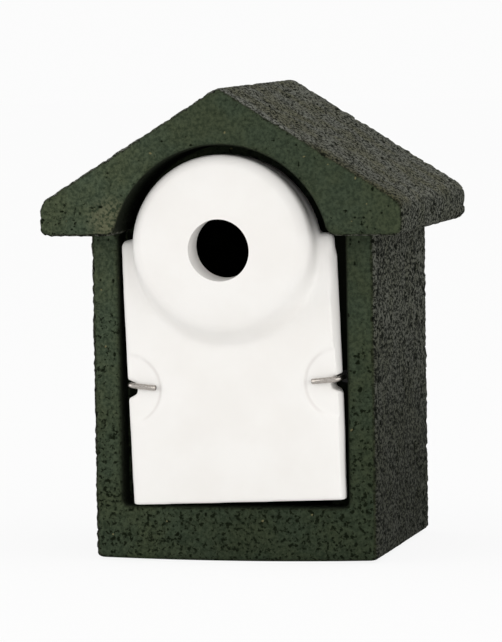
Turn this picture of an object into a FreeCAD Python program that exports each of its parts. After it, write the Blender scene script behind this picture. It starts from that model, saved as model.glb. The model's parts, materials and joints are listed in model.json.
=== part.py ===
import FreeCAD, Part
import math
import os

from FreeCAD import Rotation, Vector

# Nest box cast in woodcrete. Millimetres, +Z up, front towards -Y, origin under the middle of the base.
# The casting is one piece with its roof. A loose panel closes its front, held by two turning wire hooks.

# Depths, measured from the front of the gable backwards
depth = 170.0
gable_overhang = 24.5
back_wall = 20.0

# Opening in the casting
arch_radius = 57.0
arch_drop = 10.8
opening_step = 2.7
opening_corner = 2.5
opening_edge_round = 3.5
sill_height = 28.6

# Chamber behind the opening, narrower by the ledge that the panel rests against
ledge_width = 11.2
vault_drop = 16.0

# Walls
stile_width = 15.3
wall_draft = 1.8
wall_corner_round = 5.0
base_edge_round = 2.5

# Roof
eave_overhang = 20.0
eave_underside = 169.5
eave_thickness = 17.0
roof_rise = 58.9
ridge_round = 5.0
eave_top_round = 9.0
eave_bottom_round = 4.5
gable_edge_round = 3.0
back_edge_chamfer = 2.0
arch_foot_round = 6.0
roof_lap = 8.0

# Hole for hanging the box on a wall or a trunk
hang_hole_diameter = 8.0
hang_hole_drop = 10.0

# Front panel, in its own frame: origin in the middle of its lower edge, at its front face
panel_thickness = 16.0
panel_proud = 1.9
panel_side_clearance = 3.5
shoulder_drop = 3.4
panel_shoulder_round = 4.0
panel_nook_round = 1.5
panel_front_round = 3.3
panel_foot_round = 1.0
panel_side_depth = 6.5
panel_back_inset = 2.6

# The panel has settled askew: it stands on its lower left corner
panel_turn = 2.0
panel_turn_height = 56.5
panel_shift = 0.4
panel_sill_clearance = 0.2

# Raised boss on the panel's round head, hollow behind, with the entrance
head_clearance = 7.5
boss_rise = 16.5
boss_inset = 9.0
boss_face_lift = 4.0
boss_edge_round = 5.0
boss_edge_turn = 66.0
boss_wall = 19.0
boss_hollow_margin = 3.0
boss_hollow_taper = 6.0
entrance_diameter = 32.0
entrance_lift = 1.0
entrance_slope = 3.5

# Notches for the hooks at the panel's sides, and the shallow dishes that the hooks turn in
notch_height = 60.3
notch_depth = 5.1
notch_mouth = 9.8
notch_bottom = 5.2
dish_margin = 4.2
dish_depth = 1.0

# Wire hooks and the plugs in the ledge that they turn in
wire_diameter = 2.8
hook_reach = 14.4
hook_bend = 2.4
hook_droop = 5.5
hook_rise = 2.1
hook_inset = 4.2
hook_shift = 0.8
hook_face_clearance = 0.3
shank_in_plug = 18.0
plug_wall = 1.8
plug_end_wall = 3.0
plug_bore_clearance = 0.05
plug_end_clearance = 0.5

# Spare length by which cutting tools pass beyond the faces that they cut
overcut = 5.0

# Places worked out from the sizes above
front = -depth / 2
back = depth / 2
wall_front = front + gable_overhang
panel_front = wall_front - panel_proud
ledge_front = panel_front + panel_thickness
chamber_back = back - back_wall
opening_half = arch_radius + opening_step
chamber_half = opening_half - ledge_width
body_half = opening_half + stile_width
roof_half = body_half + eave_overhang
eave_top = eave_underside + eave_thickness
ridge_height = eave_top + roof_rise
arch_height = eave_underside - arch_drop
vault_spring = arch_height - vault_drop
hang_hole_height = vault_spring + chamber_half - hang_hole_drop
panel_half = opening_half - panel_side_clearance
panel_shoulder_height = eave_underside - sill_height - shoulder_drop
head_radius = arch_radius - head_clearance
head_height = arch_height - sill_height
boss_face_radius = head_radius - boss_inset
boss_hollow_radius = boss_face_radius - boss_hollow_margin
dish_radius = hook_reach + dish_margin
wire_radius = wire_diameter / 2
plug_radius = wire_radius + plug_wall
plug_length = shank_in_plug + plug_end_clearance + plug_end_wall
leg_depth = panel_front + dish_depth - hook_face_clearance - wire_radius

BACKWARDS = Vector(0, 1, 0)
UPWARDS = Vector(0, 0, 1)
NEAR = 0.01


def plate(points, y, length):
    """Solid with the given (x, z) outline, from the depth y backwards."""
    corners = [Vector(x, y, z) for x, z in points]
    outline = Part.makePolygon(corners + corners[:1])
    return Part.Face(outline).extrude(BACKWARDS * length)


def rod(radius, x, y, z, length):
    """Round solid along the depth."""
    return Part.makeCylinder(radius, length, Vector(x, y, z), BACKWARDS)


def runs_back_at(edge, x, z):
    """True for an edge along the depth that passes the place (x, z)."""
    box = edge.BoundBox
    same_place = abs(box.XMin - x) < NEAR and abs(box.ZMin - z) < NEAR
    return same_place and box.XLength < NEAR and box.ZLength < NEAR


def round_backward_edges(solid, places, radius):
    """Rounds the edges along the depth at the given (x, z) places."""
    chosen = [e for e in solid.Edges if any(runs_back_at(e, x, z) for x, z in places)]
    return solid.makeFillet(radius, chosen)


def edges_at_depth(solid, y):
    """Edges that lie in the upright plane at the depth y."""
    return [e for e in solid.Edges if abs(e.BoundBox.YMin - y) < NEAR and e.BoundBox.YLength < NEAR]


def make_roof():
    """Gable roof with the arch of the opening cut into its front."""
    profile = [
        (-roof_half, eave_underside),
        (roof_half, eave_underside),
        (roof_half, eave_top),
        (0, ridge_height),
        (-roof_half, eave_top),
    ]
    roof = plate(profile, front, depth)
    roof = round_backward_edges(roof, [(0, ridge_height)], ridge_round)
    roof = round_backward_edges(roof, [(-roof_half, eave_top), (roof_half, eave_top)], eave_top_round)
    eave_feet = [(-roof_half, eave_underside), (roof_half, eave_underside)]
    roof = round_backward_edges(roof, eave_feet, eave_bottom_round)

    arch = rod(arch_radius, 0, front - overcut, arch_height, overcut + ledge_front - front)
    roof = roof.cut(arch)
    foot_half = math.sqrt(arch_radius ** 2 - (eave_underside - arch_height) ** 2)
    feet = [(-foot_half, eave_underside), (foot_half, eave_underside)]
    roof = round_backward_edges(roof, feet, arch_foot_round)

    roof = roof.makeFillet(gable_edge_round, edges_at_depth(roof, front))
    return roof.makeChamfer(back_edge_chamfer, edges_at_depth(roof, back))


def make_walls():
    """Walls and floor, a little narrower at the back, open at the front down to the ledge. They lap into the roof."""
    top = eave_underside + roof_lap
    plan = [
        Vector(-body_half, wall_front, 0),
        Vector(body_half, wall_front, 0),
        Vector(body_half - wall_draft, back, 0),
        Vector(wall_draft - body_half, back, 0),
    ]
    block = Part.Face(Part.makePolygon(plan + plan[:1])).extrude(UPWARDS * top)
    upright = [e for e in block.Edges if e.BoundBox.ZLength > top - NEAR]
    block = block.makeFillet(wall_corner_round, upright)
    lowest = [e for e in block.Edges if e.BoundBox.ZMax < NEAR]
    block = block.makeFillet(base_edge_round, lowest)

    mouth_profile = [
        (-opening_half, sill_height),
        (opening_half, sill_height),
        (opening_half, top + overcut),
        (-opening_half, top + overcut),
    ]
    mouth = plate(mouth_profile, wall_front - overcut, overcut + ledge_front - wall_front)
    low_corners = [(-opening_half, sill_height), (opening_half, sill_height)]
    mouth = round_backward_edges(mouth, low_corners, opening_corner)
    block = block.cut(mouth)

    def rims_mouth(edge):
        box = edge.BoundBox
        return box.XMin > -opening_half - NEAR and box.XMax < opening_half + NEAR and box.ZMin > sill_height - NEAR

    rim = [e for e in edges_at_depth(block, wall_front) if rims_mouth(e)]
    return block.makeFillet(opening_edge_round, rim)


def make_chamber():
    """Space of the nest: straight walls under a round vault."""
    length = chamber_back - ledge_front
    profile = [
        (-chamber_half, sill_height),
        (chamber_half, sill_height),
        (chamber_half, vault_spring),
        (-chamber_half, vault_spring),
    ]
    vault = rod(chamber_half, 0, ledge_front, vault_spring, length)
    return plate(profile, ledge_front, length).fuse(vault)


def make_body(hook_places):
    """The casting: roof and walls in one, with the chamber, the sockets of the plugs and the hanging hole."""
    body = make_roof().fuse(make_walls()).removeSplitter()
    body = body.cut(make_chamber())
    for place in hook_places:
        body = body.cut(rod(plug_radius, place.x, ledge_front, place.z, plug_length))
    hang_hole = rod(hang_hole_diameter / 2, 0, chamber_back - overcut, hang_hole_height, back_wall + 2 * overcut)
    return body.cut(hang_hole)


def panel_outline(y, length):
    """Outline of the panel with its shoulders and round head, without its rounded rims."""
    profile = [
        (-panel_half, 0),
        (panel_half, 0),
        (panel_half, panel_shoulder_height),
        (-panel_half, panel_shoulder_height),
    ]
    sheet = plate(profile, y, length)
    shoulders = [(-panel_half, panel_shoulder_height), (panel_half, panel_shoulder_height)]
    sheet = round_backward_edges(sheet, shoulders, panel_shoulder_round)
    sheet = sheet.fuse(rod(head_radius, 0, y, head_height, length)).removeSplitter()
    nook_half = math.sqrt(head_radius ** 2 - (panel_shoulder_height - head_height) ** 2)
    nooks = [(-nook_half, panel_shoulder_height), (nook_half, panel_shoulder_height)]
    return round_backward_edges(sheet, nooks, panel_nook_round)


def make_boss():
    """Raised boss: a flank from the round head to a face with a stepped round edge, which sits higher."""
    foot = Part.makeCircle(head_radius, Vector(0, 0, head_height), BACKWARDS)
    rings = [Part.Wire([foot])]
    for share in (1.0, 0.8, 0.6, 0.4, 0.2, 0.0):
        angle = math.radians(boss_edge_turn * share)
        radius = boss_face_radius + boss_edge_round * math.sin(angle)
        rise = boss_rise - boss_edge_round * (1 - math.cos(angle))
        centre = Vector(0, -rise, head_height + boss_face_lift * rise / boss_rise)
        rings.append(Part.Wire([Part.makeCircle(radius, centre, BACKWARDS)]))
    boss = Part.makeLoft(rings, True, True)
    return boss.fuse(rod(head_radius, 0, 0, head_height, panel_side_depth))


def make_entrance():
    """Round way in, rising a little towards the inside so that rain runs out."""
    angle = math.radians(entrance_slope)
    direction = Vector(0, math.cos(angle), math.sin(angle))
    mouth = Vector(0, -boss_rise, head_height + entrance_lift)
    length = boss_wall + 2 * overcut
    return Part.makeCylinder(entrance_diameter / 2, length, mouth - direction * overcut, direction)


def rim_edges(panel, y):
    """Edges of the panel's outline at the depth y, all but the straight one at its foot."""
    return [e for e in edges_at_depth(panel, y) if e.BoundBox.ZMax > NEAR]


def make_panel():
    """The front panel in its own frame."""
    panel = panel_outline(0, panel_thickness)
    taper = panel_thickness - panel_side_depth
    panel = panel.makeChamfer(taper, panel_back_inset, rim_edges(panel, panel_thickness))
    panel = panel.makeFillet(panel_front_round, rim_edges(panel, 0))
    foot = [e for e in edges_at_depth(panel, 0) if e.BoundBox.ZMax < NEAR]
    panel = panel.makeFillet(panel_foot_round, foot)
    panel = panel.fuse(make_boss()).removeSplitter()

    floor = boss_wall - boss_rise
    hollow_depth = panel_thickness - floor
    bottom_radius = boss_hollow_radius - boss_hollow_taper
    hollow_at = Vector(0, floor, head_height)
    panel = panel.cut(Part.makeCone(bottom_radius, boss_hollow_radius, hollow_depth, hollow_at, BACKWARDS))
    panel = panel.cut(make_entrance())

    for side in (-1, 1):
        dish_at = Vector(side * panel_half, -dish_depth, notch_height)
        wide = dish_radius + dish_depth
        narrow = dish_radius - dish_depth
        panel = panel.cut(Part.makeCone(wide, narrow, 2 * dish_depth, dish_at, BACKWARDS))
        mouth_x = side * panel_half
        bottom_x = side * (panel_half - notch_depth)
        notch_profile = [
            (mouth_x, notch_height - notch_mouth / 2),
            (bottom_x, notch_height - notch_bottom / 2),
            (bottom_x, notch_height + notch_bottom / 2),
            (mouth_x, notch_height + notch_mouth / 2),
        ]
        panel = panel.cut(plate(notch_profile, -overcut, panel_thickness + 2 * overcut))
    return panel


def panel_place():
    """Where the panel stands: turned in its plane, lower left corner on the sill, back on the ledge."""
    angle = math.radians(panel_turn)
    corner_out = panel_half - panel_foot_round
    lowest = panel_foot_round * math.cos(angle) - corner_out * math.sin(angle) - panel_foot_round
    foot_x = panel_shift + panel_turn_height * math.sin(angle)
    foot = Vector(foot_x, panel_front, sill_height + panel_sill_clearance - lowest)
    return FreeCAD.Placement(foot, Rotation(BACKWARDS, -panel_turn))


def hook_places(place):
    """Axes of the left and right hook, in line with the panel's notches, as places on the ledge."""
    spread = opening_half - hook_inset
    height = notch_height + hook_rise
    left = place.multVec(Vector(hook_shift - spread, 0, height))
    right = place.multVec(Vector(hook_shift + spread, 0, height))
    return left, right


def make_hook(place, side):
    """Wire bent square: a leg across the panel's dish and a shank back into the plug."""
    tip = Vector(hook_reach, 0, 0)
    bend_start = Vector(hook_bend, 0, 0)
    bend_end = Vector(0, hook_bend, 0)
    middle = hook_bend * (1 - math.sqrt(0.5))
    shank_end = Vector(0, ledge_front + shank_in_plug - leg_depth, 0)
    path = Part.Wire([
        Part.LineSegment(tip, bend_start).toShape(),
        Part.Arc(bend_start, Vector(middle, middle, 0), bend_end).toShape(),
        Part.LineSegment(bend_end, shank_end).toShape(),
    ])
    section = Part.Wire([Part.makeCircle(wire_radius, tip, Vector(1, 0, 0))])
    hook = path.makePipeShell([section], True, False)
    inward = 0 if side < 0 else 180
    hook.rotate(Vector(0, 0, 0), BACKWARDS, inward - side * hook_droop)
    hook.translate(Vector(place.x, leg_depth, place.z))
    return hook


def make_plug(place):
    """Plug in the ledge with a blind hole for the hook's shank."""
    plug = rod(plug_radius, place.x, ledge_front, place.z, plug_length)
    bore_radius = wire_radius + plug_bore_clearance
    return plug.cut(rod(bore_radius, place.x, ledge_front - overcut, place.z, overcut + plug_length - plug_end_wall))


def main():
    os.makedirs("parts", exist_ok=True)
    place = panel_place()
    left, right = hook_places(place)
    panel = make_panel()
    panel.Placement = place
    nodes = {
        "roofed_body": make_body((left, right)),
        "front_panel": panel,
        "hook_left": make_hook(left, -1),
        "hook_right": make_hook(right, 1),
        "hook_plugs": Part.makeCompound([make_plug(left), make_plug(right)]),
    }
    for name, shape in nodes.items():
        shape.exportStep("parts/" + name + ".step")
        box = shape.BoundBox
        print(name, shape.isValid(), len(shape.Solids), "solids,", round(shape.Volume), "mm3,",
              [round(v, 2) for v in (box.XMin, box.YMin, box.ZMin, box.XMax, box.YMax, box.ZMax)])
    print("hook axes", [(round(p.x, 3), round(p.z, 3)) for p in (left, right)], "leg depth", round(leg_depth, 3))
    entrance = place.multVec(Vector(0, -boss_rise, head_height + entrance_lift))
    print("entrance", [round(v, 3) for v in (entrance.x, entrance.y, entrance.z)])


main()
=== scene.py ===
# %% [markdown]
# # A nest box in woodcrete
# This nest box for small birds is cast in one piece from wood fibre and cement. A loose white panel
# closes its front, and two turning wire hooks hold the panel.
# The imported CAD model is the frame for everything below: it gives each piece its place and its size,
# and Blender adds what a drawing office leaves out, which is the skin of the material, its wear and
# the light. So the first step loads the frame and notes the box that the object must stay inside.

# %% Load the frame
import json
import math

import bmesh
import bpy
import numpy as np
from mathutils import Matrix, Vector, noise


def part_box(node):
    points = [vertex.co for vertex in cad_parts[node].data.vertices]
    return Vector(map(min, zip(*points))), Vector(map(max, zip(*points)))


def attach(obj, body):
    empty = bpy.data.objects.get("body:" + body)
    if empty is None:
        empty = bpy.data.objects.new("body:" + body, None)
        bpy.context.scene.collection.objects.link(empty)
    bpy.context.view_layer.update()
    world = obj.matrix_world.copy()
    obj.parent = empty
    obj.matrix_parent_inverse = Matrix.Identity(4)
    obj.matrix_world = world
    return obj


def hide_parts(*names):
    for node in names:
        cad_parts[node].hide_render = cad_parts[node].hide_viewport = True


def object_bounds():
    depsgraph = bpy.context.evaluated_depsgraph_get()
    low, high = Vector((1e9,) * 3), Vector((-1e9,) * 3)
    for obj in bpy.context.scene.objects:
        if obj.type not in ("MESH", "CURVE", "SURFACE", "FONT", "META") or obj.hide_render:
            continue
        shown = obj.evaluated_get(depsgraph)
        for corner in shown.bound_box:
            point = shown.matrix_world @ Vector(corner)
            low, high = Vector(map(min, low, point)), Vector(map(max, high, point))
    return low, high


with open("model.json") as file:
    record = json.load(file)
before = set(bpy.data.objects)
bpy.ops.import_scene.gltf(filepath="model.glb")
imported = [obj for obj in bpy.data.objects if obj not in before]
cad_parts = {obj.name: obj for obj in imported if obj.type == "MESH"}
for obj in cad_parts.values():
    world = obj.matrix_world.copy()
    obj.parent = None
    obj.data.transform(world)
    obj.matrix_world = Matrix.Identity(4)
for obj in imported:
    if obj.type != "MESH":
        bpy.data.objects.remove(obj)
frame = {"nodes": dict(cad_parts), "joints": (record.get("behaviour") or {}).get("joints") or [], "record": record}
cad_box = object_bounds()
MM = 0.001

print("CAD nodes:", sorted(frame["nodes"]))
print("CAD box in mm:", [[round(v / MM, 1) for v in corner] for corner in cad_box])

# %% [markdown]
# ## Camera
# The photograph was taken from far away with a long lens, a little to the right of the front and a
# little above the middle. A camera can be aimed by eye or by a tracking constraint. Here its three axes
# are written out from the angles, because the picture is also rolled by almost a degree, and a matrix
# holds all of that at once.

# %% Camera at the photograph's angle
IMAGE_HEIGHT = 642
SENSOR_MM = 36.0
focal_pixels = 4669.3
azimuth = math.radians(13.526)
elevation = math.radians(4.327)
roll = math.radians(-0.891)
distance = 2453.0 * MM
aim = Vector((0, -5.0, 121.2)) * MM
aim_right = 3.10 * MM
aim_up = 1.03 * MM

away = Vector((
    math.sin(azimuth) * math.cos(elevation),
    -math.cos(azimuth) * math.cos(elevation),
    math.sin(elevation),
))
level_right = Vector((math.cos(azimuth), math.sin(azimuth), 0))
level_up = away.cross(level_right)
right = level_right * math.cos(roll) + level_up * math.sin(roll)
up = level_up * math.cos(roll) - level_right * math.sin(roll)

camera = bpy.data.objects.new("photo_camera", bpy.data.cameras.new("photo_camera"))
bpy.context.scene.collection.objects.link(camera)
camera.data.sensor_width = SENSOR_MM
camera.data.lens = SENSOR_MM * focal_pixels / IMAGE_HEIGHT
camera.data.clip_end = 20.0
camera.matrix_world = Matrix((right, up, away)).transposed().to_4x4()
camera.location = aim - right * aim_right - up * aim_up + away * distance
bpy.context.scene.camera = camera

print("lens", round(camera.data.lens, 1), "mm, camera at", [round(v, 3) for v in camera.location])

# %% [markdown]
# ## Nodes in few words
# Every finish below is a small tree of shader nodes. Such a tree can be drawn by hand in the shader
# editor. In a script it is mostly the same three moves: make a node, set its values, join two sockets.
# The helpers here do those moves, so that a finish reads as a list of what happens to the surface.


# %% Helpers for shader trees
def new_finish(name):
    """A material with an empty Principled shader: the material, its tree and the shader node."""
    finish = bpy.data.materials.new(name)
    finish.use_nodes = True
    tree = finish.node_tree
    return finish, tree, tree.nodes["Principled BSDF"]


def set_input(tree, node, key, value):
    """Sets a socket to a plain value, or joins it to another node's output."""
    if isinstance(value, bpy.types.NodeSocket):
        tree.links.new(value, node.inputs[key])
    else:
        node.inputs[key].default_value = value


def stretched(tree, per_mm):
    """Object coordinates counted in grains: per_mm grains along x, y and z."""
    place = tree.nodes.new("ShaderNodeTexCoord")
    mapping = tree.nodes.new("ShaderNodeMapping")
    mapping.inputs["Scale"].default_value = [count / MM for count in per_mm]
    tree.links.new(place.outputs["Object"], mapping.inputs["Vector"])
    return mapping.outputs["Vector"]


def grain(tree, per_mm, detail=3.0, coarse=0.55, bend=0.0):
    """Cloudy noise from 0 to 1, drawn out along the axes with few grains per millimetre."""
    node = tree.nodes.new("ShaderNodeTexNoise")
    tree.links.new(stretched(tree, per_mm), node.inputs["Vector"])
    node.inputs["Scale"].default_value = 1.0
    node.inputs["Detail"].default_value = detail
    node.inputs["Roughness"].default_value = coarse
    node.inputs["Distortion"].default_value = bend
    return node.outputs["Fac"]


def dots(tree, per_mm, bend=0.35):
    """Distance to the nearest of many scattered points, 0 at a point, about 1 between them."""
    cloud = tree.nodes.new("ShaderNodeTexNoise")
    cloud.inputs["Scale"].default_value = 1.6
    tree.links.new(stretched(tree, (per_mm, per_mm, per_mm)), cloud.inputs["Vector"])
    push = tree.nodes.new("ShaderNodeVectorMath")
    push.operation = "MULTIPLY_ADD"
    push.inputs[1].default_value = (bend, bend, bend)
    tree.links.new(cloud.outputs["Color"], push.inputs[0])
    tree.links.new(stretched(tree, (per_mm, per_mm, per_mm)), push.inputs[2])
    node = tree.nodes.new("ShaderNodeTexVoronoi")
    node.inputs["Scale"].default_value = 1.0
    tree.links.new(push.outputs["Vector"], node.inputs["Vector"])
    return node.outputs["Distance"]


def between(tree, value, low, high, to_low=0.0, to_high=1.0):
    """Value mapped from low..high to to_low..to_high, eased at both ends and held beyond them."""
    node = tree.nodes.new("ShaderNodeMapRange")
    node.interpolation_type = "SMOOTHSTEP"
    for key, number in zip(("From Min", "From Max", "To Min", "To Max"), (low, high, to_low, to_high)):
        node.inputs[key].default_value = number
    tree.links.new(value, node.inputs["Value"])
    return node.outputs["Result"]


def blend_colours(tree, share, first, second):
    """First colour where share is 0, second where it is 1."""
    node = tree.nodes.new("ShaderNodeMix")
    node.data_type = "RGBA"
    colour_sockets = [s for s in node.inputs if s.type == "RGBA"]
    tree.links.new(share, node.inputs["Factor"])
    for socket, colour in zip(colour_sockets, (first, second)):
        if isinstance(colour, bpy.types.NodeSocket):
            tree.links.new(colour, socket)
        else:
            socket.default_value = (*colour, 1.0)
    return [s for s in node.outputs if s.type == "RGBA"][0]


def compute(tree, operation, first, second):
    """One sum, product or other step of arithmetic on two values."""
    node = tree.nodes.new("ShaderNodeMath")
    node.operation = operation
    set_input(tree, node, 0, first)
    set_input(tree, node, 1, second)
    return node.outputs["Value"]


def vertex_value(tree, name):
    """A number that the mesh carries on its vertices."""
    node = tree.nodes.new("ShaderNodeAttribute")
    node.attribute_name = name
    return node.outputs["Fac"]


def split_place(tree):
    """A node whose outputs X, Y and Z give each surface point's place in metres."""
    place = tree.nodes.new("ShaderNodeTexCoord")
    node = tree.nodes.new("ShaderNodeSeparateXYZ")
    tree.links.new(place.outputs["Object"], node.inputs["Vector"])
    return node


def distance_to(tree, spot_mm):
    """Distance in metres of each surface point from a spot given in millimetres."""
    place = tree.nodes.new("ShaderNodeTexCoord")
    node = tree.nodes.new("ShaderNodeVectorMath")
    node.operation = "DISTANCE"
    node.inputs[1].default_value = [v * MM for v in spot_mm]
    tree.links.new(place.outputs["Object"], node.inputs[0])
    return node.outputs["Value"]


def raise_grain(tree, shader, height, depth_mm, strength=1.0):
    """Fine relief for light to catch, finer than the mesh."""
    node = tree.nodes.new("ShaderNodeBump")
    node.inputs["Strength"].default_value = strength
    node.inputs["Distance"].default_value = depth_mm * MM
    tree.links.new(height, node.inputs["Height"])
    tree.links.new(node.outputs["Normal"], shader.inputs["Normal"])


print("shader helpers ready")

# %% [markdown]
# ## Floor and light
# The box was photographed as in a white tent: light comes from all sides, even up from the floor, so that
# only gaps and the entrance are dark. A pale dome and a pale floor give most of that light. Three soft lamps
# add the rest: one on each side, which reach into the gaps beside the panel, and one near the camera.
# A white background could come from stronger lamps, but they would bleach the panel too. Here only rays from
# the camera, and those that gloss or glass passes on, see the floor lifted to nearly white. The share of its
# real light that is left keeps the shadow, and the sky is seen in the same tone, so that no horizon shows.


# %% Floor
def seen_by_camera(tree):
    """1 for rays from the camera and for those that gloss or glass passes on, 0 for diffuse light."""
    rays = tree.nodes.new("ShaderNodeLightPath")
    seen = compute(tree, "MAXIMUM", rays.outputs["Is Camera Ray"], rays.outputs["Is Glossy Ray"])
    return compute(tree, "MAXIMUM", seen, rays.outputs["Is Transmission Ray"])


FLOOR_HALF = 8.0
FLOOR_DROP = 0.2 * MM
FLOOR_COLOUR = (0.88, 0.88, 0.88, 1)
FLOOR_LIFT = 0.88
FLOOR_WHITE = 1.0

floor_mesh = bpy.data.meshes.new("floor")
signs = ((-1, -1), (1, -1), (1, 1), (-1, 1))
corners = [(x * FLOOR_HALF, y * FLOOR_HALF, -FLOOR_DROP) for x, y in signs]
floor_mesh.from_pydata(corners, [], [(0, 1, 2, 3)])
floor = bpy.data.objects.new("floor", floor_mesh)
bpy.context.scene.collection.objects.link(floor)

floor_finish, tree, shader = new_finish("pale_floor")
shader.inputs["Base Color"].default_value = FLOOR_COLOUR
shader.inputs["Roughness"].default_value = 0.9
shader.inputs["Specular IOR Level"].default_value = 0.0
white = tree.nodes.new("ShaderNodeEmission")
white.inputs["Strength"].default_value = FLOOR_WHITE
mix = tree.nodes.new("ShaderNodeMixShader")
tree.links.new(compute(tree, "MULTIPLY", seen_by_camera(tree), FLOOR_LIFT), mix.inputs["Fac"])
tree.links.new(shader.outputs["BSDF"], mix.inputs[1])
tree.links.new(white.outputs["Emission"], mix.inputs[2])
tree.links.new(mix.outputs["Shader"], tree.nodes["Material Output"].inputs["Surface"])
floor_mesh.materials.append(floor_finish)
print("floor", 2 * FLOOR_HALF, "m wide")

# %% Dome and lamps
DOME_LEVEL = 0.82
DOME_SEEN = 0.97
LAMP_COLOUR = (1.0, 0.985, 0.965)

world = bpy.data.worlds.new("white_room")
bpy.context.scene.world = world
world.use_nodes = True
tree = world.node_tree
dome = tree.nodes["Background"]
level = tree.nodes.new("ShaderNodeMapRange")
level.inputs["To Min"].default_value = DOME_LEVEL
level.inputs["To Max"].default_value = DOME_SEEN
tree.links.new(seen_by_camera(tree), level.inputs["Value"])
tree.links.new(level.outputs["Result"], dome.inputs["Strength"])
dome.inputs["Color"].default_value = (1, 1, 1, 1)


def add_lamp(name, place, size, power):
    """A square soft lamp that looks at the middle of the box: metres and watts."""
    light = bpy.data.lights.new(name, "AREA")
    light.size = size
    light.energy = power
    light.color = LAMP_COLOUR
    lamp = bpy.data.objects.new(name, light)
    lamp.location = place
    lamp.rotation_euler = (aim - Vector(place)).to_track_quat("-Z", "Y").to_euler()
    bpy.context.scene.collection.objects.link(lamp)


add_lamp("left_lamp", (-1.9, -1.1, 0.45), size=1.4, power=12.9)
add_lamp("right_lamp", (2.0, -0.6, 0.45), size=1.4, power=9.0)
add_lamp("front_lamp", (1.25, -1.75, 0.35), size=1.0, power=8.8)
bpy.context.scene.view_settings.view_transform = "Standard"

# %% [markdown]
# ## The casting
# The green casting is roof, walls, floor and back in one. Its mould leaves the faces that look forward
# smooth, with small pits where air was trapped, while the roof, the walls and the back come out coarse, with
# a grain that is drawn out a little from front to back.
# Bump alone would leave the outline as straight as a ruler, so the coarse skin is real geometry. The CAD
# mesh has few, large triangles. A voxel remesh turns it into an even net that can be moved point by
# point. Nothing may leave the box that the CAD model fills, so the moved points are held inside it.

# %% An even net from the CAD mesh
CASTING_VOXEL = 1.15 * MM
WELD_REACH = 0.001 * MM


def welded(node):
    """The CAD mesh of a node, opened for editing, with its doubled points joined."""
    shell = bmesh.new()
    shell.from_mesh(frame["nodes"][node].data)
    bmesh.ops.remove_doubles(shell, verts=shell.verts, dist=WELD_REACH)
    return shell


def bake_modifiers(piece):
    """Replaces the piece's mesh by what its modifiers make of it."""
    graph = bpy.context.evaluated_depsgraph_get()
    made = bpy.data.meshes.new_from_object(piece.evaluated_get(graph))
    old = piece.data
    piece.modifiers.clear()
    piece.data = made
    made.name = old.name
    bpy.data.meshes.remove(old)


def even_net(shell, name, voxel):
    """A closed, even net in the shape of the mesh being edited."""
    mesh = bpy.data.meshes.new(name)
    shell.to_mesh(mesh)
    shell.free()
    piece = bpy.data.objects.new(name, mesh)
    bpy.context.scene.collection.objects.link(piece)
    remesh = piece.modifiers.new("even_net", "REMESH")
    remesh.mode = "VOXEL"
    remesh.voxel_size = voxel
    bake_modifiers(piece)
    return piece


def read_vectors(mesh, source):
    """Points or normals of a mesh as rows of x, y, z."""
    rows = np.empty(len(mesh.vertices) * 3)
    if source == "points":
        mesh.vertices.foreach_get("co", rows)
    else:
        mesh.vertex_normals.foreach_get("vector", rows)
    return rows.reshape(-1, 3)


casting = even_net(welded("roofed_body"), "casting", CASTING_VOXEL)
points = read_vectors(casting.data, "points") / MM
normals = read_vectors(casting.data, "normals")
print("casting net:", len(points), "points")

# %% [markdown]
# ### Which skin goes where
# The same mesh carries three skins: smooth faces that look forward, the coarse roof and walls, and the
# chamber inside. Painting such masks by hand works, but a rule is safer here, because the skin follows
# from how the mould opens. The rule looks at the direction of each point's normal and at a few sizes of
# the casting, in millimetres, with some slack, because the net doesn't lie exactly on the CAD faces.

# %% Masks for the three skins
ARCH_RADIUS = 57.0
ARCH_HEIGHT = 158.7
OPENING_HALF = 59.7
SILL_HEIGHT = 28.6
EAVE_UNDERSIDE = 169.5
LEDGE_FRONT = -46.4
CHAMBER_MARGIN = 8.0
LEDGE_SLACK = 0.6
NET_SLACK = 1.0
BASE_ZONE = 2.0


def ease(value, low, high):
    """0 below low, 1 above high, smooth between them."""
    share = np.clip((value - low) / (high - low), 0, 1)
    return share * share * (3 - 2 * share)


openings = {o["name"]: np.array(o["box_m"]) / MM for o in frame["record"]["physics"]["openings"]}
chamber_low = openings["nest_chamber"][0] - CHAMBER_MARGIN
chamber_high = openings["chamber_vault"][1] + CHAMBER_MARGIN
chamber_high[0] = openings["nest_chamber"][1][0] + CHAMBER_MARGIN
chamber_low[1] = LEDGE_FRONT - LEDGE_SLACK

x, y, z = points.T
inside = ((points > chamber_low) & (points < chamber_high)).all(axis=1)
on_ledge = (y > LEDGE_FRONT - LEDGE_SLACK) & (y < LEDGE_FRONT + CHAMBER_MARGIN)
inside |= on_ledge & (np.abs(x) < OPENING_HALF - NET_SLACK) & (z > SILL_HEIGHT) & (z < EAVE_UNDERSIDE)
in_arch = np.hypot(x, z - ARCH_HEIGHT) < ARCH_RADIUS + NET_SLACK
in_mouth = (np.abs(x) < OPENING_HALF + NET_SLACK) & (z > SILL_HEIGHT - NET_SLACK) & (z < EAVE_UNDERSIDE)
reveal = (in_arch | in_mouth) & (y < LEDGE_FRONT)
# Painted shade: the chamber, the ledge and the reveals of the openings are marked for the darkest colour.
recess_shade = np.where(inside, 1.0, reveal * ease(np.hypot(normals[:, 0], normals[:, 2]), 0.6, 0.95))
base = ease(-normals[:, 2], 0.5, 0.9) * (z < BASE_ZONE)
forward = np.maximum(ease(-normals[:, 1], 0.5, 0.85), reveal)
coarse = np.where(inside, 0.0, (1.0 - forward) * (1.0 - base))
smooth = np.where(inside, 0.0, forward)
edge = 4 * coarse * smooth
print("share of coarse points:", round(float(coarse.mean()), 2), "inside:", round(float(inside.mean()), 2))

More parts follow.
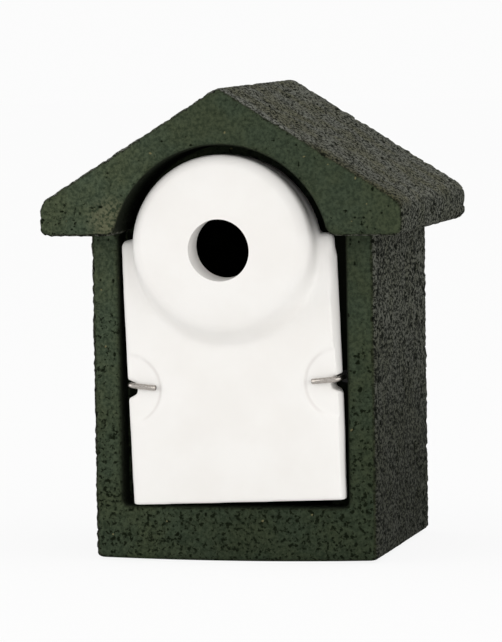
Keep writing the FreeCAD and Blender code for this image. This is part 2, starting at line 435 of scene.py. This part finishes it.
# %% [markdown]
# ### Relief of the skins
# The coarse skin is built from four scales: slow waves of the mould, lumps of two to three millimetres,
# grit between them and deep pits. The smooth skin has only shallow waves and scattered pits, and the
# edges between both have lost a chip here and there. All of it comes from Perlin noise, which is even in
# all directions. For the coarse skin the depth axis is squeezed before the noise is read, so that its
# grains come out half as long again from front to back.


# %% Relief of both skins
def perlin(points, per_mm, shift):
    """Perlin noise at every point, about -1 to 1."""
    return np.array([noise.noise(row) for row in (points * per_mm + shift).tolist()])


DEPTH_SQUEEZE = (1.0, 0.65, 1.0)

# Grains per millimetre, then a shift that gives each noise a place of its own. Depths are in millimetres.
drawn = points * DEPTH_SQUEEZE
waves = perlin(points, 0.03, 7.3)
lumps = perlin(drawn, 0.30, 3.1)
grit = perlin(drawn, 0.52, 12.9)
pits = perlin(drawn, 0.36, 57.1)
pores = perlin(points, 0.42, 83.9)
crowd = perlin(points, 0.035, 19.4)

coarse_depth = 0.2 * waves - 0.45 * lumps - 0.4 * grit + 1.1 * ease(pits, 0.22, 0.6)
smooth_depth = 0.1 * waves + 0.8 * ease(pores, 0.52 - 0.14 * crowd, 0.70)
chips = 1.1 * edge * ease(pits + 0.5 * crowd, 0.05, 0.6)
depth = coarse * coarse_depth + smooth * smooth_depth + chips
moved = points - normals * depth[:, None]
print("relief: mean", round(float(depth.mean()), 2), "mm, deepest", round(float(depth.max()), 2), "mm")

# %% [markdown]
# ### Rounded base
# The base of the real box isn't as crisp as a drawing: its edge is round at the back, and its sides stand a
# little off the ground. A bevel could round the edge, but it needs clean edge loops, which a voxel net
# doesn't have. So the points are moved once more: those low at the back are drawn onto an ellipse, and the
# sides are lifted with the square of their distance from the middle.

# %% Base of the casting
BODY_HALF = 75.0
BASE_LIFT = 1.2
LIFT_HEIGHT = 35.0
BASE_ROUND = (14.0, 7.0)

low_corner, high_corner = (np.array(corner) / MM for corner in cad_box)
behind = np.clip(moved[:, 1] - high_corner[1] + BASE_ROUND[0], 0, None) / BASE_ROUND[0]
below = np.clip(BASE_ROUND[1] - moved[:, 2], 0, None) / BASE_ROUND[1]
pull = np.where(behind * below > 0, 1 / np.maximum(np.hypot(behind, below), 1), 1)
moved[:, 1] -= behind * (1 - pull) * BASE_ROUND[0]
moved[:, 2] += below * (1 - pull) * BASE_ROUND[1]
moved[:, 2] += BASE_LIFT * (moved[:, 0] / BODY_HALF) ** 2 * ease(moved[:, 2], LIFT_HEIGHT, 0)
moved = np.clip(moved, low_corner, high_corner)
casting.data.vertices.foreach_set("co", (moved * MM).ravel())
print("points drawn in at the back edge:", int((pull < 1).sum()))

# %% Carry the masks to the finish, then thin the mesh out
MOST_TRIANGLES = 190000

skyward = ease(normals[:, 2], 0.2, 0.7)
masks = {"coarse": coarse, "hollow": depth, "recess_shade": recess_shade, "skyward": skyward, "rim": edge}
for name, values in masks.items():
    layer = casting.data.attributes.new(name, "FLOAT", "POINT")
    layer.data.foreach_set("value", np.ascontiguousarray(values, dtype=np.float32))

triangles = sum(len(face.vertices) - 2 for face in casting.data.polygons)
thin = casting.modifiers.new("thin_out", "DECIMATE")
thin.ratio = min(1.0, MOST_TRIANGLES / triangles)
bake_modifiers(casting)
points = np.clip(read_vectors(casting.data, "points"), *cad_box)
casting.data.vertices.foreach_set("co", points.ravel())
casting.data.shade_smooth()
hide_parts("roofed_body")
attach(casting, "box")
print("casting:", triangles, "triangles thinned to", len(casting.data.polygons))

# %% [markdown]
# ### Finish of the casting
# The cement is coloured right through, dark green where the mould pressed it smooth. The right half of the
# front is painted a little darker, as painted shade. One patch at the left of the gable is painted pale,
# partly as wear and partly as a painted highlight where the arch's rounded edge catches light. On the coarse
# skin pale fibre stands over dark hollows, so the mean is greyer, and the roof is paler where it faces the sky.
# Its front strip is palest, but olive near the right eave, and the rim between both skins is olive too.
# Towards the ground the box is darker, and the recess round the panel is painted darkest, as painted shade.
# A picture wrapped round the mesh could show all this, but it would have to be painted and unwrapped. Here
# the colour uses the same masks as the relief, which keeps pits dark and ridges pale and paints shade into
# the deeper hollows, and adds grains that are too fine for the mesh.

# %% Colour of the smooth skin
WEAR_AND_HIGHLIGHT_PLACE = (-57.0, -85.0, 177.0)
WEAR_AND_HIGHLIGHT_COLOUR = (0.135, 0.133, 0.080)

green, tree, shader = new_finish("green_woodcrete")
coarse_here = vertex_value(tree, "coarse")
hollow_shade = vertex_value(tree, "hollow")
along = split_place(tree)

cloudy = between(tree, grain(tree, (0.05, 0.05, 0.05), detail=4.0), 0.35, 0.65)
pepper = grain(tree, (0.55, 0.55, 0.55), detail=5.0, coarse=0.75)
deep_green = blend_colours(tree, cloudy, (0.024, 0.034, 0.021), (0.027, 0.036, 0.020))
pale_green = blend_colours(tree, cloudy, (0.063, 0.083, 0.052), (0.071, 0.086, 0.048))
smooth_colour = blend_colours(tree, between(tree, pepper, 0.34, 0.66), deep_green, pale_green)
# Painted shade: the right half of the smooth front is darkened.
painted_shade_right = between(tree, along.outputs["X"], -0.06, 0.0, 0.0, 0.33)
smooth_colour = blend_colours(tree, painted_shade_right, smooth_colour, (0.014, 0.020, 0.012))
# A pale patch at the arch's left edge: partly wear, partly a painted highlight where the rounded edge catches
# light.
wear_and_highlight = between(tree, distance_to(tree, WEAR_AND_HIGHLIGHT_PLACE), 0.016, 0.004, 0.0, 0.6)
wear_and_highlight = compute(tree, "MULTIPLY", wear_and_highlight, between(tree, pepper, 0.42, 0.55))
smooth_colour = blend_colours(tree, wear_and_highlight, smooth_colour, WEAR_AND_HIGHLIGHT_COLOUR)
darker_below = between(tree, along.outputs["Z"], 0.16, 0.0, 0.0, 0.34)
smooth_colour = blend_colours(tree, darker_below, smooth_colour, (0.010, 0.016, 0.008))
print("smooth skin:", len(tree.nodes), "nodes")

# %% Pits and flecks of the smooth skin
PIT_AND_SHADE_COLOUR = (0.006, 0.009, 0.004)
FLECK_COLOUR = (0.13, 0.12, 0.06)

more_below = between(tree, along.outputs["Z"], 0.15, 0.03, 0.0, 0.34)
more_left = between(tree, along.outputs["X"], 0.0, -0.06, 0.0, 0.05)
patches = grain(tree, (0.03, 0.03, 0.03), bend=0.5)
crowded = compute(tree, "ADD", patches, compute(tree, "ADD", more_below, more_left))
crowded = between(tree, crowded, 0.40, 0.80, -0.07, 0.06)
blotches = grain(tree, (0.40, 0.40, 0.40), detail=4.0, coarse=0.65)
pitted = between(tree, compute(tree, "ADD", blotches, crowded), 0.60, 0.66)
# Painted shade: the deeper hollows of the relief join the pits and get their near-black colour.
pitted = compute(tree, "MAXIMUM", pitted, between(tree, hollow_shade, 0.2, 0.5))
smooth_colour = blend_colours(tree, pitted, smooth_colour, PIT_AND_SHADE_COLOUR)
flecks = between(tree, dots(tree, 0.11), 0.075, 0.05)
smooth_colour = blend_colours(tree, flecks, smooth_colour, FLECK_COLOUR)
print("with pits and flecks:", len(tree.nodes), "nodes")

# %% Colour of the walls
# Near black for the dark grain of the walls, and painted shade in the deeper hollows.
WALL_GRAIN_AND_HOLLOW_SHADE = (0.005, 0.006, 0.004)

tint = between(tree, grain(tree, (0.05, 0.05, 0.05), detail=3.0), 0.4, 0.65)
lumpy = grain(tree, (0.58, 0.36, 0.58), detail=5.0, coarse=0.72)
wall_pale = blend_colours(tree, tint, (0.102, 0.106, 0.088), (0.090, 0.094, 0.072))
wall_colour = blend_colours(tree, between(tree, lumpy, 0.45, 0.57), WALL_GRAIN_AND_HOLLOW_SHADE, wall_pale)
wall_below = between(tree, along.outputs["Z"], 0.17, 0.02, 0.0, 0.5)
wall_colour = blend_colours(tree, wall_below, wall_colour, (0.006, 0.007, 0.005))
# Painted shade: the deeper hollows of the wall relief are darkened.
wall_colour = blend_colours(tree, between(tree, hollow_shade, 0.25, 0.8), wall_colour, WALL_GRAIN_AND_HOLLOW_SHADE)
print("with the walls:", len(tree.nodes), "nodes")

# %% Colour of the roof
ROOF_FRINGE = (0.160, 0.163, 0.142)
OLIVE_FRINGE = (0.066, 0.064, 0.034)

roof_pale = blend_colours(tree, tint, (0.138, 0.142, 0.120), (0.117, 0.117, 0.082))
fringe = between(tree, along.outputs["Y"], -0.070, -0.081)
near_eave = between(tree, along.outputs["X"], 0.035, 0.055, 0.0, 0.75)
near_ridge = between(tree, along.outputs["X"], 0.055, 0.035)
roof_pale = blend_colours(tree, compute(tree, "MULTIPLY", fringe, near_ridge), roof_pale, ROOF_FRINGE)
roof_pale = blend_colours(tree, compute(tree, "MULTIPLY", fringe, near_eave), roof_pale, OLIVE_FRINGE)
roof_grain = grain(tree, (0.72, 0.42, 0.72), detail=5.0, coarse=0.70)
roof_colour = blend_colours(tree, between(tree, roof_grain, 0.42, 0.57), (0.008, 0.009, 0.006), roof_pale)
# Painted shade: the deeper hollows of the roof relief are darkened.
roof_colour = blend_colours(tree, between(tree, hollow_shade, 0.35, 1.0), roof_colour, (0.007, 0.008, 0.005))
print("with the roof:", len(tree.nodes), "nodes")

# %% All skins together
RIM_COLOUR = (0.034, 0.040, 0.021)
CHIP_COLOUR = (0.006, 0.008, 0.005)
RECESS_SHADE_COLOUR = (0.009, 0.011, 0.007)

coarse_colour = blend_colours(tree, vertex_value(tree, "skyward"), wall_colour, roof_colour)
outer = blend_colours(tree, between(tree, coarse_here, 0.25, 0.75), smooth_colour, coarse_colour)
rim_here = vertex_value(tree, "rim")
outer = blend_colours(tree, between(tree, rim_here, 0.1, 0.8, 0.0, 0.7), outer, RIM_COLOUR)
broken = compute(tree, "MULTIPLY", rim_here, between(tree, lumpy, 0.60, 0.42))
outer = blend_colours(tree, broken, outer, CHIP_COLOUR)
# Painted shade: the recess round the panel gets the darkest colour.
colour = blend_colours(tree, vertex_value(tree, "recess_shade"), outer, RECESS_SHADE_COLOUR)
tree.links.new(colour, shader.inputs["Base Color"])
print("with rim and recess:", len(tree.nodes), "nodes")


# %% Gloss and fine relief of the casting
def dress(piece, finish):
    """Gives the piece this finish and no other."""
    piece.data.materials.clear()
    piece.data.materials.append(finish)


fine = grain(tree, (0.9, 0.9, 0.9), detail=4.0, coarse=0.6)
tree.links.new(between(tree, fine, 0.3, 0.7, 0.82, 0.97), shader.inputs["Roughness"])
shader.inputs["Specular IOR Level"].default_value = 0.03
coarse_height = compute(tree, "MULTIPLY", lumpy, coarse_here)
height = compute(tree, "ADD", coarse_height, compute(tree, "MULTIPLY", fine, 0.5))
height = compute(tree, "SUBTRACT", height, compute(tree, "MULTIPLY", pitted, 0.6))
raise_grain(tree, shader, height, 0.6, strength=0.8)
dress(casting, green)
print("green woodcrete:", len(tree.nodes), "nodes")

# %% [markdown]
# ## The front panel
# The panel is a finer casting, white and almost smooth, with soft edges. Its boss, its notches and the
# shallow dishes for the hooks are in the CAD model. The same even net is used again, finer this time, and
# a little smoothing rounds every edge as a worn mould does. The foot of the boss runs out softly into the
# plate, so it is smoothed more than the rest. The rim of the entrance is the one crisp edge. A net would
# blur it, so the entrance is filled before the net is made and cut out again with a clean cylinder.

# %% Entrance tools
ENTRANCE = Vector((-2.204, -78.9, 161.747)) * MM
ENTRANCE_RADIUS = 16.0 * MM
BOSS_WALL = 19.0 * MM
ROUND_SIDES = 128
entrance_slope = math.radians(3.5)
panel_turn = math.radians(2.0)
inward = Vector((
    -math.sin(panel_turn) * math.sin(entrance_slope),
    math.cos(entrance_slope),
    math.cos(panel_turn) * math.sin(entrance_slope),
))


def add_cylinder(shell, start, end, radius, direction):
    """A closed cylinder in the mesh being edited, from start to end."""
    turn = Vector((0, 0, 1)).rotation_difference(direction).to_matrix().to_4x4()
    place = Matrix.Translation((start + end) / 2) @ turn
    sizes = {"radius1": radius, "radius2": radius, "depth": (end - start).length}
    bmesh.ops.create_cone(shell, cap_ends=True, segments=ROUND_SIDES, matrix=place, **sizes)


print("way in:", [round(v, 3) for v in inward])

# %% Panel mesh
PANEL_VOXEL = 0.95 * MM
FILL_MARGIN = 2.0 * MM

filled = welded("front_panel")
fill_front = ENTRANCE + Vector((0, 0, BOSS_WALL / 2 * math.tan(entrance_slope)))
fill_back = fill_front + Vector((0, BOSS_WALL, 0))
add_cylinder(filled, fill_front, fill_back, ENTRANCE_RADIUS + FILL_MARGIN, Vector((0, 1, 0)))
panel = even_net(filled, "panel", PANEL_VOXEL)
soften = panel.modifiers.new("soft_edges", "SMOOTH")
soften.factor = 0.5
soften.iterations = 3
bake_modifiers(panel)
print("panel net:", len(panel.data.vertices), "points")

# %% [markdown]
# ### Boss and right edge of this one casting
# Held against the photograph, the boss is fuller than the solid, most of all on the right, and its lower part
# lies back towards the plate. The plate's right edge bows out a little and has a bevel. A sculpting brush
# could do this. Here each move is a rule in the distance from the boss's centre or from the plate's edge,
# which can be read, changed and run again.

# %% Fuller boss that lies back below
HEAD_CENTRE = (-2.17, 160.75)
PANEL_FRONT = -62.4
BOSS_RISE = 16.5
BOSS_LIFT = 4.0
BOSS_LEAN = 0.55
LEAN_START = HEAD_CENTRE[1] + 8.0
LEAN_LENGTH = 58.0
SWELL_ALL_ROUND = 1.4
SWELL_TO_RIGHT = 0.9
FLANK_REACH = (38.0, 43.0)
FLANK_START = (2.0, 12.0)
FLANK_END = (BOSS_RISE, 13.5)

points = read_vectors(panel.data, "points") / MM
x, y, z = points.T
rise = PANEL_FRONT - y
out_x = x - HEAD_CENTRE[0]
out_z = z - HEAD_CENTRE[1] - BOSS_LIFT * rise / BOSS_RISE
radius = np.hypot(out_x, out_z)
swell = (SWELL_ALL_ROUND + SWELL_TO_RIGHT * out_x / radius) * ease(out_z / radius, -0.7, 0.1)
swell *= ease(radius, *FLANK_REACH) * ease(rise, *FLANK_START) * ease(rise, *FLANK_END)
x += swell * out_x / radius
z += swell * out_z / radius
lean = BOSS_LEAN * np.clip((LEAN_START - z) / LEAN_LENGTH, 0, 1) ** 1.5 * np.clip(rise, 0, None)
y += lean
print("boss fuller by up to", round(float(swell.max()), 1), "mm, leans by", round(float(lean.max()), 1), "mm")

# %% Bowed right edge with a bevel
PANEL_FOOT = (2.37, 30.73)
PANEL_HALF = 56.2
EDGE_BOW = 0.8
BOW_START = (5.0, 45.0)
BOW_END = (131.0, 125.0)
EDGE_BAND = (48.0, 55.0)
BEVEL_LOW = 1.55
BEVEL_GROWTH = 1.45
BEVEL_LENGTH = 105.0
BEVEL_ANGLE = math.radians(30)
BEVEL_INNER = 40.0
BEVEL_TOP = 128.0
FLAT_RISE = 0.6

turned_x, turned_z = x - PANEL_FOOT[0], z - PANEL_FOOT[1]
across = turned_x * math.cos(panel_turn) + turned_z * math.sin(panel_turn)
upward = turned_z * math.cos(panel_turn) - turned_x * math.sin(panel_turn)
bow = EDGE_BOW * ease(upward, *BOW_START)
push = bow * ease(across, *EDGE_BAND)
x += push * ease(upward, *BOW_END)

from_side = PANEL_HALF + bow - across - push
bevel = BEVEL_LOW + BEVEL_GROWTH * np.clip(upward / BEVEL_LENGTH, 0, 1)
beyond = bevel - math.cos(BEVEL_ANGLE) * from_side + math.sin(BEVEL_ANGLE) * rise
cut_back = np.clip(beyond, 0, None) * (across > BEVEL_INNER) * (rise < FLAT_RISE) * (upward < BEVEL_TOP)
x -= math.cos(BEVEL_ANGLE) * cut_back
y += math.sin(BEVEL_ANGLE) * cut_back
panel.data.vertices.foreach_set("co", (points * MM).ravel())
print("edge bowed by", EDGE_BOW, "mm, bevel up to", round(float(cut_back.max()), 1), "mm")

# %% Soft foot of the boss
FOOT_REACH = (45.5, 47.5)
FOOT_HEIGHT = (168.0, 158.0)
LOW_EDGE_REACH = (32.0, 37.0)
LOW_EDGE_HEIGHT = (152.0, 138.0)
FOOT_END = (59.0, 55.0)
FOOT_DEPTH = (-56.0, -60.0)
WEIGHT_STEP = 0.25

points = read_vectors(panel.data, "points") / MM
x, y, z = points.T
from_centre = np.hypot(x - HEAD_CENTRE[0], z - HEAD_CENTRE[1])
at_foot = ease(from_centre, *FOOT_REACH) * ease(z, *FOOT_HEIGHT)
low_edge = ease(from_centre, *LOW_EDGE_REACH) * ease(z, *LOW_EDGE_HEIGHT)
at_foot = np.maximum(at_foot, low_edge) * ease(from_centre, *FOOT_END) * ease(y, *FOOT_DEPTH)
foot = panel.vertex_groups.new(name="boss_foot")
for weight in (WEIGHT_STEP, 2 * WEIGHT_STEP, 3 * WEIGHT_STEP, 1.0):
    chosen = np.flatnonzero((at_foot > weight - WEIGHT_STEP) & (at_foot <= weight))
    foot.add(chosen.tolist(), weight, "REPLACE")
run_out = panel.modifiers.new("soft_foot", "SMOOTH")
run_out.vertex_group = "boss_foot"
run_out.factor = 0.5
run_out.iterations = 40
bake_modifiers(panel)
print("foot points:", int((at_foot > 0).sum()))

# %% Shallow waves of the panel
WAVE_DEPTH = 0.12

points = read_vectors(panel.data, "points") / MM
normals = read_vectors(panel.data, "normals")
depth = WAVE_DEPTH * (1 + perlin(points, 0.05, 5.5)) / 2
panel.data.vertices.foreach_set("co", ((points - normals * depth[:, None]) * MM).ravel())
print("waves: mean", round(float(depth.mean()), 2), "mm")

# %% Cut the entrance
DRILL_BEFORE = 10 * MM
DRILL_BEHIND = 30 * MM
SHARP_ANGLE = math.radians(50)

drill_shell = bmesh.new()
drill_start = ENTRANCE - inward * DRILL_BEFORE
drill_end = ENTRANCE + inward * DRILL_BEHIND
add_cylinder(drill_shell, drill_start, drill_end, ENTRANCE_RADIUS, inward)
drill_mesh = bpy.data.meshes.new("drill")
drill_shell.to_mesh(drill_mesh)
drill_shell.free()
drill = bpy.data.objects.new("drill", drill_mesh)
bpy.context.scene.collection.objects.link(drill)
cut = panel.modifiers.new("entrance", "BOOLEAN")
cut.operation = "DIFFERENCE"
cut.solver = "EXACT"
cut.object = drill
bake_modifiers(panel)
bpy.data.objects.remove(drill)
panel.data.shade_smooth()
panel.data.set_sharp_from_angle(angle=SHARP_ANGLE)
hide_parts("front_panel")
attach(panel, "box")
print("panel:", len(panel.data.polygons), "faces")

# %% [markdown]
# ### Finish of the panel
# The white casting is almost even: slow clouds in its tone and a fine grain that breaks the gloss. Round each
# dish runs a faint grey line. A dark line in a picture texture would need the panel unwrapped. Here the
# distance from the centre of a dish picks out a narrow ring, and only its inner arc is kept.

# %% White woodcrete
DISH_PLACES = [(-55.9, -62.0, 89.03), (56.43, -62.0, 92.95)]
LINE_COLOUR = (0.77, 0.745, 0.72)

white_cast, tree, shader = new_finish("white_woodcrete")
cloud = grain(tree, (0.03, 0.03, 0.03), detail=3.0)
fine = grain(tree, (1.3, 1.3, 1.3), detail=3.0)
colour = blend_colours(tree, between(tree, cloud, 0.3, 0.7), (0.84, 0.82, 0.79), (0.87, 0.855, 0.83))
along = split_place(tree)
inner = between(tree, compute(tree, "ABSOLUTE", along.outputs["X"], 0.0), 0.050, 0.043)
for spot in DISH_PLACES:
    reach = distance_to(tree, spot)
    ring = between(tree, reach, 0.0166, 0.0177)
    ring = compute(tree, "MULTIPLY", ring, between(tree, reach, 0.0191, 0.0179))
    colour = blend_colours(tree, compute(tree, "MULTIPLY", ring, inner), colour, LINE_COLOUR)
tree.links.new(colour, shader.inputs["Base Color"])
tree.links.new(between(tree, fine, 0.3, 0.7, 0.55, 0.7), shader.inputs["Roughness"])
shader.inputs["Specular IOR Level"].default_value = 0.3
raise_grain(tree, shader, fine, 0.05, strength=0.5)
dress(panel, white_cast)
print("white woodcrete:", len(tree.nodes), "nodes")

# %% [markdown]
# ## The wire hooks
# Each hook is one piece of bright round wire, bent square: a leg lies across the panel and a shank
# turns in a plug behind it. A curve with a round bevel is the natural way to model wire. The curve needs
# only the tip with its chamfer, the two ends of the bend and the end of the shank. The joints of the frame
# say where the shanks turn, so the hooks follow them.

# %% Hook wires
WIRE_RADIUS = 1.4
HOOK_REACH = 14.4
HOOK_BEND = 2.4
HOOK_DROOP = math.radians(5.5)
TIP_CHAMFER = 0.4
TIP_SLACK = 0.05
ARC_HANDLE = 0.5523

joints = {joint["name"]: joint for joint in frame["joints"]}


def wire_mesh(name, stops, handle):
    """Round wire through five stops, each a place and a share of the radius; it bends after the third."""
    curve = bpy.data.curves.new(name, "CURVE")
    curve.dimensions = "3D"
    curve.bevel_depth = WIRE_RADIUS * MM
    curve.bevel_resolution = 7
    curve.resolution_u = 10
    curve.use_fill_caps = True
    line = curve.splines.new("BEZIER")
    line.bezier_points.add(len(stops) - 1)
    for point, (place, radius) in zip(line.bezier_points, stops):
        point.co = place
        point.radius = radius
        point.handle_left_type = point.handle_right_type = "VECTOR"
    bend_start, bend_end = line.bezier_points[2], line.bezier_points[3]
    bend_start.handle_right_type = bend_end.handle_left_type = "FREE"
    bend_start.handle_right = bend_start.co - (stops[1][0] - stops[2][0]).normalized() * handle
    bend_end.handle_left = bend_end.co - (stops[4][0] - stops[3][0]).normalized() * handle
    wire = bpy.data.objects.new(name + "_line", curve)
    bpy.context.scene.collection.objects.link(wire)
    graph = bpy.context.evaluated_depsgraph_get()
    mesh = bpy.data.meshes.new_from_object(wire.evaluated_get(graph))
    bpy.data.objects.remove(wire)
    mesh.shade_smooth()
    return mesh


def make_hook(name, node, joint_name, side):
    """A wire hook; side is 1 where the leg points to +x and -1 where it points to -x."""
    axis_place = Vector(joints[joint_name]["pos_m"])
    shank_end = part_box(node)[1].y - axis_place.y
    leg = Vector((side * math.cos(HOOK_DROOP), 0, -math.sin(HOOK_DROOP)))
    backward = Vector((0, 1, 0))
    tip = axis_place + leg * HOOK_REACH * MM
    stops = [
        (tip, 1 - TIP_CHAMFER / WIRE_RADIUS),
        (axis_place + leg * (HOOK_REACH - TIP_CHAMFER) * MM, 1.0),
        (axis_place + leg * HOOK_BEND * MM, 1.0),
        (axis_place + backward * HOOK_BEND * MM, 1.0),
        (axis_place + backward * shank_end, 1.0),
    ]
    mesh = wire_mesh(name, stops, HOOK_BEND * MM * ARC_HANDLE)
    at_tip = [float((corner.co - tip).dot(leg) > -TIP_SLACK * MM) for corner in mesh.vertices]
    mesh.attributes.new("cut_end", "FLOAT", "POINT").data.foreach_set("value", at_tip)
    hook = bpy.data.objects.new(name, mesh)
    bpy.context.scene.collection.objects.link(hook)
    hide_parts(node)
    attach(hook, joints[joint_name]["child"])
    return hook


hooks = [
    make_hook("wire_hook_left", "hook_left", "left_hook_turn", 1),
    make_hook("wire_hook_right", "hook_right", "right_hook_turn", -1),
]
print("hooks:", [(hook.name, len(hook.data.polygons)) for hook in hooks])

# %% Bright wire
bright, tree, shader = new_finish("hook_wire")
streaks = grain(tree, (0.6, 3.0, 3.0), detail=3.0)
colour = blend_colours(tree, between(tree, streaks, 0.3, 0.7), (0.34, 0.31, 0.28), (0.46, 0.43, 0.40))
colour = blend_colours(tree, vertex_value(tree, "cut_end"), colour, (0.10, 0.08, 0.07))
tree.links.new(colour, shader.inputs["Base Color"])
shader.inputs["Metallic"].default_value = 1.0
tree.links.new(between(tree, streaks, 0.3, 0.7, 0.2, 0.34), shader.inputs["Roughness"])
raise_grain(tree, shader, streaks, 0.03, strength=0.5)
for hook in hooks:
    dress(hook, bright)
print("bright wire:", len(tree.nodes), "nodes")

# %% [markdown]
# ## The plugs behind the hooks
# Two plastic plugs are cast into the ledge behind the panel, and the shanks turn in them. They hardly
# show, so the CAD shape stays as it is and only gets a finish: a dull moulded plastic with a faint grain.

# %% Plug plastic
dull, tree, shader = new_finish("plug_plastic")
moulded = grain(tree, (1.5, 1.5, 1.5), detail=2.0)
colour = blend_colours(tree, between(tree, moulded, 0.3, 0.7), (0.018, 0.018, 0.018), (0.032, 0.032, 0.031))
tree.links.new(colour, shader.inputs["Base Color"])
tree.links.new(between(tree, moulded, 0.3, 0.7, 0.45, 0.6), shader.inputs["Roughness"])
raise_grain(tree, shader, moulded, 0.05, strength=0.4)
dress(frame["nodes"]["hook_plugs"], dull)
print("plug plastic:", len(tree.nodes), "nodes")
